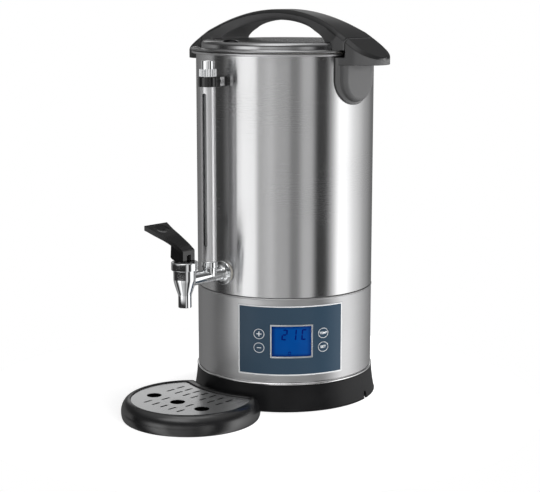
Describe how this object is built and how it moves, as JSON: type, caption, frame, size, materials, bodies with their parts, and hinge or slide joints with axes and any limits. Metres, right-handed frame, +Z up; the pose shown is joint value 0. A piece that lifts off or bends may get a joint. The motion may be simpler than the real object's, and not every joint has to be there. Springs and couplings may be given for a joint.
{
  "type": "electric coffee urn",
  "caption": "Free-standing steel coffee urn with an arched lid handle, side grips, level gauge, lever tap, key panel with a display, and a separate drip tray.",
  "frame": {"origin": "on the axis of the steel body, in the plane that the rubber foot ring stands on", "axes": "+Z up along the body's axis, -Y towards the tap and the drip tray, X along the side grips"},
  "size_m": [0.311, 0.3694, 0.4823],
  "materials": {
    "black_plastic": "moulded black plastic, satin",
    "dark_plastic": "moulded dark plastic, matt",
    "foot_rubber": "rubber",
    "screw_steel": "plated steel",
    "bright_trim": "polished trim",
    "pin_brass": "plain brass",
    "brushed_steel": "brushed round the body",
    "panel_blue": "printed film, satin",
    "display_frame": "silver plastic",
    "display_blue": "backlit blue screen",
    "board_green": "circuit board",
    "tank_steel": "satin stainless steel",
    "heater_aluminium": "cast",
    "element_steel": "sheathed element",
    "cutout_ceramic": "ceramic and phenolic",
    "chrome": "polished chrome",
    "silicone": "food-safe silicone",
    "gauge_glass": "clear glass",
    "lid_steel": "polished stainless steel",
    "grille_steel": "satin stainless steel"
  },
  "bodies": {
    "urn": {"base_housing": "black_plastic", "base_plate": "dark_plastic", "foot_ring": "foot_rubber", "base_screws": "screw_steel", "trim_ring": "bright_trim", "power_inlet": "black_plastic", "inlet_pins": "pin_brass", "lower_skirt": "brushed_steel", "panel_fascia": "panel_blue", "display_bezel": "display_frame", "display_screen": "display_blue", "display_module": "dark_plastic", "control_board": "board_green", "outer_wall": "brushed_steel", "wall_screws": "screw_steel", "tank": "tank_steel", "heater_plate": "heater_aluminium", "heating_element": "element_steel", "thermal_cutout": "cutout_ceramic", "temperature_probe": "tank_steel", "tap_shank": "chrome", "shank_nut": "tank_steel", "shank_seals": "silicone", "tap_body": "chrome", "tap_bonnet": "chrome", "tap_spring": "element_steel", "gauge_tube": "gauge_glass", "gauge_seals": "silicone", "gauge_shield": "chrome", "gauge_bracket": "black_plastic", "clamp_plate": "bright_trim", "bracket_screw": "screw_steel", "grip_right": "black_plastic", "grip_left": "black_plastic"},
    "lid": {"lid_shell": "lid_steel", "lid_gasket": "silicone", "lid_handle": "black_plastic", "lid_screws": "screw_steel"},
    "key_up": {"key_up": "panel_blue"},
    "key_down": {"key_down": "panel_blue"},
    "key_menu": {"key_menu": "panel_blue"},
    "key_start": {"key_start": "panel_blue"},
    "swivel": {"cam_washer": "black_plastic"},
    "stem": {"tap_stem": "tank_steel", "seat_cup": "silicone"},
    "lever": {"tap_lever": "black_plastic", "lever_pin": "screw_steel"},
    "gauge_cap": {"gauge_cap": "chrome"},
    "tray": {"drip_tray": "black_plastic"},
    "grille": {"drip_grille": "grille_steel"}
  },
  "joints": [
    {"name": "lid_lift", "type": "slide", "parent": "urn", "child": "lid", "axis": [0, 0, 1], "range_m": [0, 0.12]},
    {"name": "up_press", "type": "slide", "parent": "urn", "child": "key_up", "axis": [-0.7254, 0.6884, 0], "range_m": [0, 0.0008], "stiffness_N_per_m": 1200, "springref_m": -0.0005},
    {"name": "down_press", "type": "slide", "parent": "urn", "child": "key_down", "axis": [-0.7254, 0.6884, 0], "range_m": [0, 0.0008], "stiffness_N_per_m": 1200, "springref_m": -0.0005},
    {"name": "menu_press", "type": "slide", "parent": "urn", "child": "key_menu", "axis": [-0.7254, 0.6884, 0], "range_m": [0, 0.0008], "stiffness_N_per_m": 1200, "springref_m": -0.0005},
    {"name": "start_press", "type": "slide", "parent": "urn", "child": "key_start", "axis": [-0.7254, 0.6884, 0], "range_m": [0, 0.0008], "stiffness_N_per_m": 1200, "springref_m": -0.0005},
    {"name": "lever_swivel", "type": "hinge", "parent": "urn", "child": "swivel", "pos_m": [0, -0.176, 0.192], "axis": [0, 0, 1], "range_deg": [0, 180]},
    {"name": "stem_lift", "type": "slide", "parent": "swivel", "child": "stem", "axis": [0, 0, 1], "range_m": [0, 0.0047], "deforming": ["tap_spring"]},
    {"name": "lever_tilt", "type": "hinge", "parent": "stem", "child": "lever", "pos_m": [0, -0.176, 0.1994], "axis": [0, -1, 0], "range_deg": [0, 35], "stiffness_Nm_per_rad": 0.5, "springref_deg": -22.92},
    {"name": "cap_turn", "type": "hinge", "parent": "urn", "child": "gauge_cap", "pos_m": [0, -0.1348, 0.41], "axis": [0, 0, 1], "continuous": true},
    {"name": "tray_pull", "type": "slide", "parent": "urn", "child": "tray", "axis": [0, -1, 0], "range_m": [0, 0.15]},
    {"name": "grille_lift", "type": "slide", "parent": "tray", "child": "grille", "axis": [0, 0, 1], "range_m": [0, 0.06]}
  ],
  "couplings": [
    {"joint": "stem_lift", "follows": "lever_tilt", "m_per_rad": 0.0075}
  ]
}
